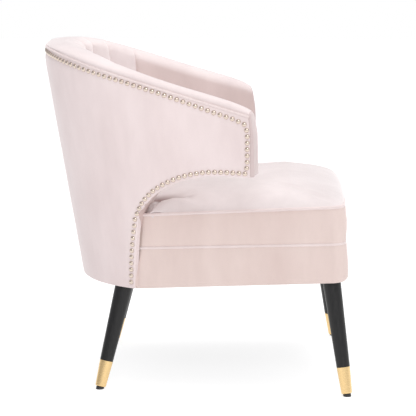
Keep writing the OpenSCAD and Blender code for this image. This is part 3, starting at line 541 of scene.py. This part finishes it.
# ------------------------------------------------------------------ padded fronts of the arms
def arm_front(s, name):
    u1 = 0.9945
    t = thick(1.0); zc = crest_z(0.999); zs = seam_z(1.0); zl = low_z(1.0)
    loop = []
    for k in range(24): loop.append((0.6, mix(zl + 5, zs + 2, k / 24)))                 # outer side, going up
    for k in range(13):                                                                 # outer shoulder
        a = radians(90 * k / 12); loop.append((0.45 * t - (0.45 * t - 0.6) * cos(a) ** 0.8, zs + 2 + (zc - zs - 2) * sin(a) ** 0.72))
    for k in range(1, 14):                                                              # inner shoulder
        a = radians(90 * k / 13); loop.append((0.45 * t + (t - 0.45 * t) * sin(a) ** 0.92, zc - 22 + 22 * cos(a) ** 0.92))
    for k in range(1, 22): loop.append((t + 2.0 * sin(pi * k / 22), mix(zc - 22, zl + 9, k / 22)))   # inner side, going down
    for k in range(1, 6): a = radians(90 * k / 5); loop.append((t - 8 * (1 - cos(a)), zl + 9 - 8 * sin(a)))
    for k in range(1, 12): loop.append((mix(t - 8, 5, k / 12), zl + 1))
    for k in range(1, 5): a = radians(90 * k / 5); loop.append((5 - 4.4 * sin(a), zl + 5 - 4 * cos(a)))
    cd, cz = 0.5 * t, 0.5 * (zl + zc)
    def spine(d, z): return (cd, min(max(z, zl + 0.5 * t), zc - 0.5 * t))
    rings = []
    for a in (-60, -35, -12, 10, 28, 46, 62, 76, 90):
        ca, sa = cos(radians(a)), sin(radians(a))
        ring = []
        for (d, z) in loop:
            top = smooth((z - (zc - 26)) / 26); bot = 1 - smooth((z - zl) / 14)
            if a >= 0: ins = mix(mix(3.5, 5.5, c01((d - 8) / 30)), 10.0, top) * (1 - ca)
            else: ins = 2.6 * (1 - ca)
            sp = spine(d, z); v = (sp[0] - d, sp[1] - z); l = hypot(*v) or 1
            f_off = (6.6 - 3.4 * c01((z - 500) / 120)) * sa if a >= 0 else 3.0 * sa
            ring.append((d + v[0] / l * ins, z + v[1] / l * ins, f_off))
        rings.append(ring)
    last = rings[-1]
    for k in (0.18, 0.38, 0.6, 0.82, 0.97):
        ring = []
        for (d, z, fo) in last:
            sp = spine(d, z); ring.append((mix(d, sp[0], k), mix(z, sp[1], k), fo + 0.8 * sin(pi / 2 * k)))
        rings.append(ring)
    pts = []
    for ring in rings:
        row = []
        for (d, z, fo) in ring:
            u = 1.0 + (fo - 0.9) / (end_f(z) - fe(z)) * (1 - UE)
            p = wall(s * u, z, d)
            w = 0.35 * fbm(p, 30, 9)
            row.append((p[0], p[1] - w, p[2]))
        pts.append(row)
    bm = bmesh.new()
    V = [[bm.verts.new((p[0] / 1000, p[1] / 1000, p[2] / 1000)) for p in row] for row in pts]
    m = len(loop)
    for i in range(len(V) - 1):
        for j in range(m):
            bm.faces.new((V[i][j], V[i][(j + 1) % m], V[i + 1][(j + 1) % m], V[i + 1][j]))
    bmesh.ops.remove_doubles(bm, verts=bm.verts, dist=0.0006)
    be = [e for e in bm.edges if e.is_boundary and all(v.co.y < (Y0 - 104) / 1000 for v in e.verts)]
    if be: bmesh.ops.holes_fill(bm, edges=be, sides=0)
    bmesh.ops.recalc_face_normals(bm, faces=bm.faces)
    bm.normal_update()
    if sum(f.normal.y * f.calc_area() for f in bm.faces if f.normal.y < -0.7 or f.normal.y > 0.7) > 0: bmesh.ops.reverse_faces(bm, faces=bm.faces)
    return from_bm(name, bm, VELVET_FRONT)
fr_l = arm_front(1, "arm_front_left"); fr_r = arm_front(-1, "arm_front_right")
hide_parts("left_arm_front_cover", "left_arm_front_pad"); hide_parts("right_arm_front_cover", "right_arm_front_pad")

# ------------------------------------------------------------------ piping under the roll
pp = [wall(u, seam_z(u) + 0.4, 0.2) for u in np.linspace(-0.998, 0.998, 520)]
pp = resample(pp, 2.6) / 1000
pipe = tube("roll_piping_velvet", pp, lambda i: 0.0029 * (1 + 0.03 * sin(i * 0.37) + 0.02 * sin(i * 0.113)), VELVET_PIPE, 12)
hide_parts("roll_piping")

# ------------------------------------------------------------------ nail heads
def nails(node, name):
    bm = bmesh.new(); R, Hh, seg = 5.35, 3.3, 22
    prof = [(R, -0.5), (R, 0.25), (R * 0.975, 0.75), (R * 0.9, 1.45), (R * 0.78, 2.1), (R * 0.62, 2.62), (R * 0.42, 3.0), (R * 0.2, 3.22)]
    for (c, ax, P) in nail_points(node):
        ax = Vector(ax).normalized(); cc = Vector(c)
        ctr = Vector((0, Y0 / 1000 + 0.06, c[2]))
        if ax.dot(cc - ctr) < 0: ax = -ax
        hmin = min((Vector(q) - cc).dot(ax) for q in P); base = cc + ax * (hmin + 0.0001)
        s = ax.cross(Vector((0, 0, 1))).normalized(); w = ax.cross(s)
        tilt = Vector((rng.normal(), rng.normal(), rng.normal())) * 0.02
        ax2 = (ax + tilt).normalized(); s = ax2.cross(Vector((0, 0, 1))).normalized(); w = ax2.cross(s)
        rings = []
        for (r, h) in prof:
            rings.append([bm.verts.new(base + ax2 * (h - 0.5) / 1000 + (cos(2 * pi * k / seg) * s + sin(2 * pi * k / seg) * w) * r / 1000) for k in range(seg)])
        top = bm.verts.new(base + ax2 * (Hh - 0.5) / 1000)
        for i in range(len(rings) - 1):
            for k in range(seg):
                bm.faces.new((rings[i][k], rings[i][(k + 1) % seg], rings[i + 1][(k + 1) % seg], rings[i + 1][k]))
        for k in range(seg): bm.faces.new((rings[-1][k], rings[-1][(k + 1) % seg], top))
        bm.faces.new(list(reversed(rings[0])))
    bmesh.ops.recalc_face_normals(bm, faces=bm.faces)
    ob = from_bm(name, bm, NAIL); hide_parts(node); return ob
nl = nails("left_nail_trim", "nail_heads_left"); nr = nails("right_nail_trim", "nail_heads_right")

# ------------------------------------------------------------------ seat
def seat_half(e):
    cw = seat_hw(SCF) - 28; r = 28 - e
    out = [(seat_hw(f) - e, f) for f in (-160, -120, -60, 0, 60, 120, 180, 230, 262)]
    out += [(cw + r * cos(radians(a)), SCF + r * sin(radians(a))) for a in range(0, 91, 9)]
    out += [(cw * k, 307 - e + 8 * (1 - k * k)) for k in (0.9, 0.8, 0.7, 0.6, 0.5, 0.4, 0.3, 0.2, 0.1)]
    return out
def seat_path(e, step=4.0):
    h = seat_half(e)
    full = [(-p[0], p[1]) for p in h] + [(0, 315 - e)] + list(reversed(h))
    return resample(full, step)
def path_normals(P):
    T = np.gradient(P, axis=0); T /= np.linalg.norm(T, axis=1, keepdims=True)
    return np.stack([-T[:, 1], T[:, 0]], 1)
SP = seat_path(0.0, 2.2)
PN = path_normals(SP)
if PN[len(PN) // 2][1] < 0: PN = -PN
SL = np.concatenate([[0], np.cumsum(np.linalg.norm(np.diff(SP, axis=0), axis=1))])

def cloth(ob, pin_name, frames=16, pressure=2.0, shrink=-0.02, cap=0.006, stiff=18.0, bend=0.6):
    """Runs Blender's cloth on ob with its pinned edge held, caps the movement and keeps the result."""
    base = np.empty(len(ob.data.vertices) * 3); ob.data.vertices.foreach_get("co", base); base = base.reshape(-1, 3).copy()
    md = ob.modifiers.new("Cloth", "CLOTH"); st = md.settings
    st.quality = 5; st.mass = 0.25; st.air_damping = 6.0
    st.tension_stiffness = stiff; st.compression_stiffness = stiff; st.shear_stiffness = stiff * 0.5; st.bending_stiffness = bend
    st.use_pressure = True; st.uniform_pressure_force = pressure
    st.vertex_group_mass = pin_name; st.shrink_min = shrink; st.effector_weights.gravity = 0.0
    md.collision_settings.use_collision = False; md.collision_settings.use_self_collision = False
    md.point_cache.frame_start = 1; md.point_cache.frame_end = frames
    sc = bpy.context.scene
    for fr in range(1, frames + 1): sc.frame_set(fr)
    dg = bpy.context.evaluated_depsgraph_get(); ev = ob.evaluated_get(dg)
    co = np.empty(len(ev.data.vertices) * 3); ev.data.vertices.foreach_get("co", co); co = co.reshape(-1, 3)
    d = co - base; l = np.linalg.norm(d, axis=1, keepdims=True); l[l < 1e-9] = 1e-9
    fade = np.clip((225.0 + 25.2 + 1000.0 * base[:, 1:2]) / 60.0, 0.0, 1.0)
    co = base + fade * d * (cap * np.tanh(l / cap)) / l
    ob.modifiers.remove(md); sc.frame_set(1)
    ob.data.vertices.foreach_set("co", co.ravel()); ob.data.update()
    return ob

def crown(f, k):
    a = abs(k)
    side = 0.46 * (1 - a ** 2.2) + 0.54 * (1 - a ** 7)
    fr = c01((308 - f) / 120) ** 0.42
    bk = mix(0.74, 1, c01((f + 238) / 120))
    return 54.5 * side * fr * bk
def seat_half_at(f):
    if f < -143: return 216.5 * sqrt(max(0.004, 1 - ((f + 50) / 190.5) ** 2))
    if f < SCF: return seat_hw(f) - 1.0
    return seat_hw(SCF) - 28 + sqrt(max(0.0, 27.0 ** 2 - (min(f, SCF + 27.0) - SCF) ** 2))
def build_seat():
    fs = list(np.linspace(-237, -146, 22)) + list(np.linspace(-143, -24, 42)) + list(np.linspace(-20, 262, 58)) + [SCF - 12 + 39.0 * sin(radians(a)) for a in np.linspace(8, 90, 22)]
    fs = sorted(set(round(v, 2) for v in fs))
    ks = [sin(radians(90 * t_)) * 0.35 + t_ * 0.65 for t_ in np.linspace(-1, 1, 129)]
    rows = []
    for f in fs:
        hw = seat_half_at(f)
        if -146 <= f < -100: hw = mix(216.5 * sqrt(1 - ((-143 + 50) / 190.5) ** 2), seat_hw(f) - 1, smooth((f + 150) / 24))
        row = []
        for k in ks:
            F = f + 9.3 * (1 - k * k) * smooth((f - 150) / 156)
            row.append((k * hw, Y0 - F, top_z(F) - 0.6 + crown(f, k)))
        rows.append(row)
    bm = bmesh.new(); V = bm_grid(bm, rows)
    bm.normal_update()
    if sum(f.normal.z for f in bm.faces) < 0: bmesh.ops.reverse_faces(bm, faces=bm.faces)
    bm.verts.index_update()
    rim = [V[i][j].index for i in range(len(V)) for j in range(len(V[0])) if i in (0, len(V) - 1) or j in (0, len(V[0]) - 1)]
    ob = from_bm("seat_top_velvet", bm, VELVET_SEAT)
    g = ob.vertex_groups.new(name="pin"); g.add(rim, 1.0, "REPLACE")
    return ob
seat = build_seat()
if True: cloth(seat, "pin", frames=18, pressure=1.6, shrink=-0.01, cap=0.0006)
bm = bmesh.new(); bm.from_mesh(seat.data); painted_crease_shade = []
for v in bm.verts:                                   # soft sitting marks, a crease to each front corner, and the gather under each arm
    x, f, z = v.co.x * 1000, Y0 - v.co.y * 1000, v.co.z * 1000
    ax_ = abs(x)
    e = 0.9 * fbm((x, f, 0), 120, 11) + 0.45 * fbm((x, f, 0), 45, 12) + 0.18 * fbm((x, f, 0), 18, 13)
    a, b_ = (150.0, 120.0), (282.0, 296.0)
    dx, dy = b_[0] - a[0], b_[1] - a[1]; L = hypot(dx, dy); tt = ((ax_ - a[0]) * dx + (f - a[1]) * dy) / L / L
    dd = abs((ax_ - a[0]) * dy - (f - a[1]) * dx) / L
    if 0 < tt < 1: e += -1.5 * exp(-(dd / 5.5) ** 2) * sin(pi * tt) ** 0.6 + 0.8 * exp(-((dd - 12) / 8) ** 2) * sin(pi * tt)
    A, B = (246.0, -134.0), (190.0, -22.0)
    dx, dy = B[0] - A[0], B[1] - A[1]; L = hypot(dx, dy); tt = ((ax_ - A[0]) * dx + (f - A[1]) * dy) / L / L
    dd = ((ax_ - A[0]) * dy - (f - A[1]) * dx) / L
    tc = c01(tt); w_ = 5.0 + 8 * tc; fade = (1 - tc) ** 0.8 * (1 if tt > 0 else exp(-(tt * L / 8) ** 2))
    e += -15.0 * fade * exp(-(dd / w_) ** 2) + 6.5 * fade * exp(-((dd - 17) / 11) ** 2) + 2.0 * fade * exp(-((dd + 22) / 16) ** 2)
    W = smooth((f + 138) / 20) * (1 - smooth((f + 78) / 66))
    e += 12.0 * W * exp(-((ax_ - 238) / 12) ** 2) - 5.0 * W * exp(-((ax_ - 215) / 8) ** 2)
    # painted shade: a weight in the valley of the gather under each arm, which later darkens the seat's base colour
    painted_crease_shade.append(c01(0.9 * W * exp(-((ax_ - 216) / 9) ** 2)))
    g = exp(-((ax_ - 236) / 24) ** 2 - ((f + 112) / 36) ** 2); e += 1.1 * g * sin((ax_ + f * 0.55) * 0.42)
    v.co.z += e / 1000
bm.normal_update(); curl(bm, 0.0012, 0.012, steps=2, dsteps=1)
bm.to_mesh(seat.data); bm.free(); seat.data.polygons.foreach_set("use_smooth", [True] * len(seat.data.polygons))
fa = seat.data.attributes.new("painted_crease_shade", "FLOAT", "POINT")
if len(painted_crease_shade) <= len(fa.data):
    for i_, q_ in enumerate(painted_crease_shade): fa.data[i_].value = q_
# painted shade: the crease weight mixes the seat velvet's base colour towards a dark brown-pink (0.22, 0.13, 0.12) in
# the gather under each arm
nt_ = VELVET_SEAT.node_tree; pb_ = next(n_ for n_ in nt_.nodes if n_.type == "BSDF_PRINCIPLED")
if pb_.inputs["Base Color"].links:
    src_ = pb_.inputs["Base Color"].links[0].from_socket
    at_ = nt_.nodes.new("ShaderNodeAttribute"); at_.attribute_name = "painted_crease_shade"
    mx_ = nt_.nodes.new("ShaderNodeMix"); mx_.data_type = "RGBA"; mx_.inputs[7].default_value = (0.22, 0.13, 0.12, 1.0)
    nt_.links.new(at_.outputs["Fac"], mx_.inputs[0]); nt_.links.new(src_, mx_.inputs[6]); nt_.links.new(mx_.outputs[2], pb_.inputs["Base Color"])
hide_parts("seat_top_cover", "seat_foam")

def band(name, lo, hi, nrow, bulge, under=0.0):
    rows = []
    for i, p in enumerate(SP):
        n = PN[i]; row = []
        endf = smooth(min(SL[i], SL[-1] - SL[i]) / 30)
        corner = exp(-((abs(p[0]) - 292) / 16) ** 2 - ((p[1] - 300) / 16) ** 2)
        if under > 0:
            for k in range(3):
                a = radians(90 * k / 3)
                z0 = lo(p[1]) + under
                q = (p[0] - n[0] * under * (1 - sin(a)), p[1] - n[1] * under * (1 - sin(a)))
                row.append(at(q, z0 - under * cos(a)))
        z0 = lo(p[1]) + under; z1 = hi(p[1])
        for k in range(nrow + 1):
            t_ = k / nrow; z = mix(z0, z1, t_)
            b_ = bulge * (sin(pi * (t_ if under == 0 else mix(0.35, 1, t_))) ** 0.7)
            q3 = (p[0], p[1], z)
            b_ += (0.7 * fbm(q3, 90, 21) + 0.35 * fbm((p[0] * 0.35, p[1] * 0.35, z), 22, 22)) * sin(pi * t_) ** 0.5
            b_ += 0.5 * exp(-((1 - t_) * (z1 - z0) / 9) ** 2) * sin(SL[i] * 0.16 + 4 * fbm(q3, 70, 23)) * 0.6
            fg = -25.2 - float(np.interp(z, (240, 268, 304, 325, 351, 375, 398), (128, 128.5, 126.5, 124.5, 122.5, 120.5, 118)))
            b_ -= 3.2 * exp(-((p[1] - fg) / 2.8) ** 2)
            b_ = b_ * (1 - 0.45 * corner) + 1.6 * smooth((p[1] - 250) / 50) * sin(pi * mix(0.12, 0.88, t_ if under else t_ * 0.9))
            row.append(at((p[0] + n[0] * b_, p[1] + n[1] * b_), z))
        rows.append(row)
    bm = bmesh.new(); bm_grid(bm, rows); bm.normal_update()
    if sum(f.normal.dot(Vector((f.calc_center_median().x, f.calc_center_median().y, 0))) for f in bm.faces) < 0: bmesh.ops.reverse_faces(bm, faces=bm.faces)
    curl(bm, 0.0034, 0.008, steps=3, dsteps=1)
    return from_bm(name, bm, VELVET_BAND)
b_up = band("seat_band_upper", lambda f: mid_z(f) + 3.6, lambda f: top_z(f) - 4.6, 18, 2.8)
b_lo = band("seat_band_lower", lambda f: base_z(f) - 2.6, lambda f: mid_z(f) - 3.6, 18, 2.8, under=9.0)
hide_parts("seat_upper_band"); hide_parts("seat_lower_band")
w1 = [at(p, top_z(p[1]) - 0.4) for p in seat_path(1.7, 3.0)]
w2 = [at(p, mid_z(p[1])) for p in seat_path(1.7, 3.0)]
welt_t = tube("seat_top_welt", np.array(w1) / 1000, lambda i: 0.0039 * (1 + 0.03 * sin(i * 0.41) + 0.02 * sin(i * 0.13)), VELVET_PIPE, 12)
welt_m = tube("seat_middle_welt", np.array(w2) / 1000, lambda i: 0.0036 * (1 + 0.03 * sin(i * 0.37 + 1) + 0.02 * sin(i * 0.11)), VELVET_PIPE, 12)
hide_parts("seat_top_piping"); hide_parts("seat_middle_piping")

# ------------------------------------------------------------------ everything rides on the one body
new = [outer, us_l, us_r, back_in, arm_l, arm_r, fr_l, fr_r, pipe, nl, nr, seat, b_up, b_lo, welt_t, welt_m]
for o in new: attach(o, "root")

# ------------------------------------------------------------------ finishes of the CAD nodes that stay
BY_SLOT = {"foam": FOAM, "felt": FELT, "webbing": WEB, "fibreboard": BOARD, "dust_cloth": DUST, "plywood": PLY, "steel": STEEL,
           "nail_gold": NAIL, "ferrule_gold": GOLD, "leg_lacquer": LACQ, "glide": GLIDE, "velvet_outer": VELVET, "velvet_inner": VELVET_IN, "velvet_piping": VELVET_PIPE}
slots = {s["node"]: s["material_slot"] for s in frame["record"]["subparts"]}
for name, ob in frame["nodes"].items():
    mt = BY_SLOT[slots[name]]
    if ob.type == "MESH":
        if not ob.material_slots: ob.data.materials.append(mt)
        for sl in ob.material_slots: sl.material = mt

# ------------------------------------------------------------------ floor, light, camera
bpy.ops.mesh.primitive_plane_add(size=24, location=(0, 0, 0)); floor = bpy.context.active_object; floor.name = "studio_floor"
m, nt, b = new_mat("floor_white"); b.inputs["Base Color"].default_value = (0.5, 0.5, 0.5, 1); b.inputs["Roughness"].default_value = 0.9; b.inputs["Specular IOR Level"].default_value = 0.0
b.inputs["Emission Color"].default_value = (1, 1, 1, 1); b.inputs["Emission Strength"].default_value = 0.72
floor.data.materials.append(m)
sc = bpy.context.scene
w = bpy.data.worlds.new("studio"); sc.world = w; w.use_nodes = True
wn = w.node_tree; bg = wn.nodes["Background"]; bg.inputs[0].default_value = (1.0, 1.0, 1.0, 1); bg.inputs[1].default_value = 1.0
bg2 = wn.nodes.new("ShaderNodeBackground"); bg2.inputs[1].default_value = 1.0
tcw = wn.nodes.new("ShaderNodeTexCoord"); sepw = wn.nodes.new("ShaderNodeSeparateXYZ"); wn.links.new(tcw.outputs["Generated"], sepw.inputs[0])
rw = wn.nodes.new("ShaderNodeValToRGB"); e = rw.color_ramp.elements; e[0].position = 0.30; e[0].color = (0.62, 0.62, 0.64, 1); e[1].position = 1.0; e[1].color = (1.0, 1.0, 1.0, 1)
mz = wn.nodes.new("ShaderNodeMapRange"); mz.inputs[1].default_value = -1.0; mz.inputs[2].default_value = 1.0; wn.links.new(sepw.outputs[2], mz.inputs[0]); wn.links.new(mz.outputs[0], rw.inputs[0])
ry = wn.nodes.new("ShaderNodeValToRGB"); e = ry.color_ramp.elements; e[0].position = 0.42; e[0].color = (1, 1, 1, 1); e[1].position = 0.95; e[1].color = (0.60, 0.60, 0.62, 1)
my = wn.nodes.new("ShaderNodeMapRange"); my.inputs[1].default_value = -1.0; my.inputs[2].default_value = 1.0; wn.links.new(sepw.outputs[1], my.inputs[0]); wn.links.new(my.outputs[0], ry.inputs[0])
mw = wn.nodes.new("ShaderNodeMix"); mw.data_type = "RGBA"; mw.blend_type = "MULTIPLY"; mw.inputs[0].default_value = 1.0
wn.links.new(rw.outputs[0], mw.inputs[6]); wn.links.new(ry.outputs[0], mw.inputs[7]); wn.links.new(mw.outputs[2], bg2.inputs[0])
lp = wn.nodes.new("ShaderNodeLightPath"); ms = wn.nodes.new("ShaderNodeMixShader")
wn.links.new(lp.outputs["Is Camera Ray"], ms.inputs[0]); wn.links.new(bg2.outputs[0], ms.inputs[1]); wn.links.new(bg.outputs[0], ms.inputs[2])
wn.links.new(ms.outputs[0], wn.nodes["World Output"].inputs[0])
def area(name, loc, target, size, power, col=(1, 1, 1)):
    l = bpy.data.lights.new(name, "AREA"); l.shape = "RECTANGLE"; l.size, l.size_y = size; l.energy = power; l.color = col
    o = bpy.data.objects.new(name, l); sc.collection.objects.link(o); o.location = loc
    o.rotation_euler = (Vector(target) - Vector(loc)).to_track_quat("-Z", "Y").to_euler(); return o
area("key", (-3.3, -0.5, 2.3), (0, 0, 0.45), (1.8, 1.8), 31)
area("top", (0.2, -0.3, 3.2), (0, 0, 0.5), (2.2, 2.2), 42)
sc.view_settings.view_transform = "Standard"; sc.view_settings.look = "None"; sc.view_settings.exposure = 0.0; sc.view_settings.gamma = 1.0
cam = bpy.data.cameras.new("cam"); cam.sensor_width = 36.0; cam.lens = 155.06; cam.clip_end = 60
co = bpy.data.objects.new("cam", cam); sc.collection.objects.link(co)
co.location = (-4.19934, -0.07464 + Y0 / 1000, 1.0478)
co.rotation_euler = Vector((0.98735, 0.01755, -0.15760)).to_track_quat("-Z", "Y").to_euler()
sc.camera = co
sc.frame_set(1)
